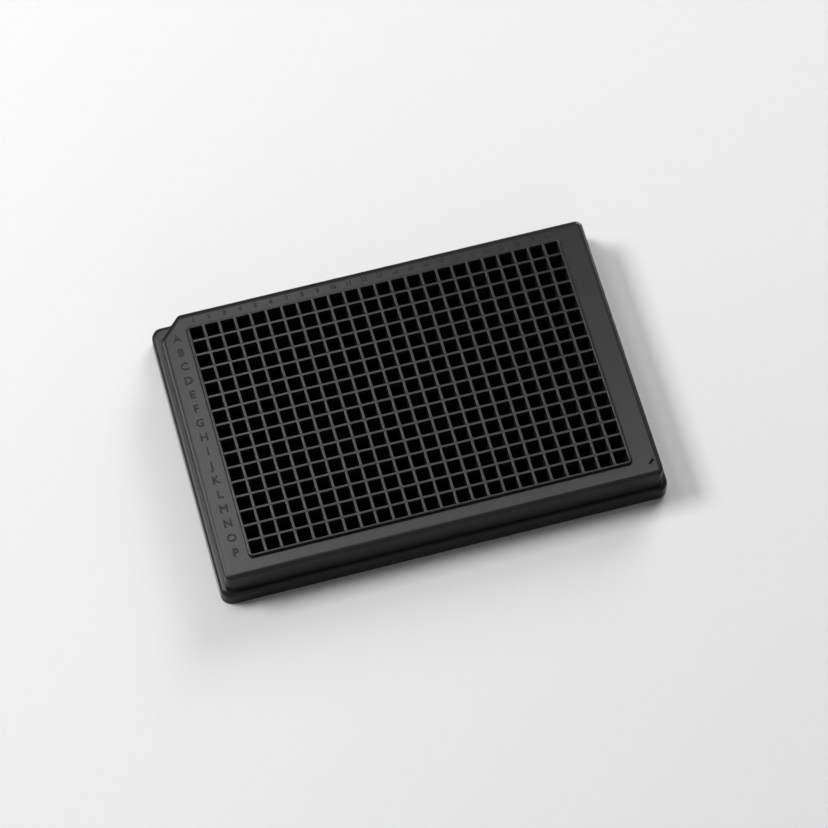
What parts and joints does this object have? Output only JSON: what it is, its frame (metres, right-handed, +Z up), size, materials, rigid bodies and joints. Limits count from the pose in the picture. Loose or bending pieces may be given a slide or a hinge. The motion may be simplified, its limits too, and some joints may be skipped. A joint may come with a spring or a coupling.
{
  "type": "microplate",
  "caption": "Low rectangular laboratory plate with a raised grid of square tapered wells, a flat deck with one notched corner, and a flanged skirt that is open underneath.",
  "frame": {"origin": "centre of the footprint, on the surface that the plate stands on", "axes": "+X along the columns from column 1 to column 24, +Y across the rows towards row A, +Z up out of the wells"},
  "size_m": [0.1278, 0.0854, 0.0142],
  "materials": {
    "plate_plastic": "satin black moulded polystyrene"
  },
  "bodies": {
    "root": {"plate": "plate_plastic"}
  },
  "joints": []
}
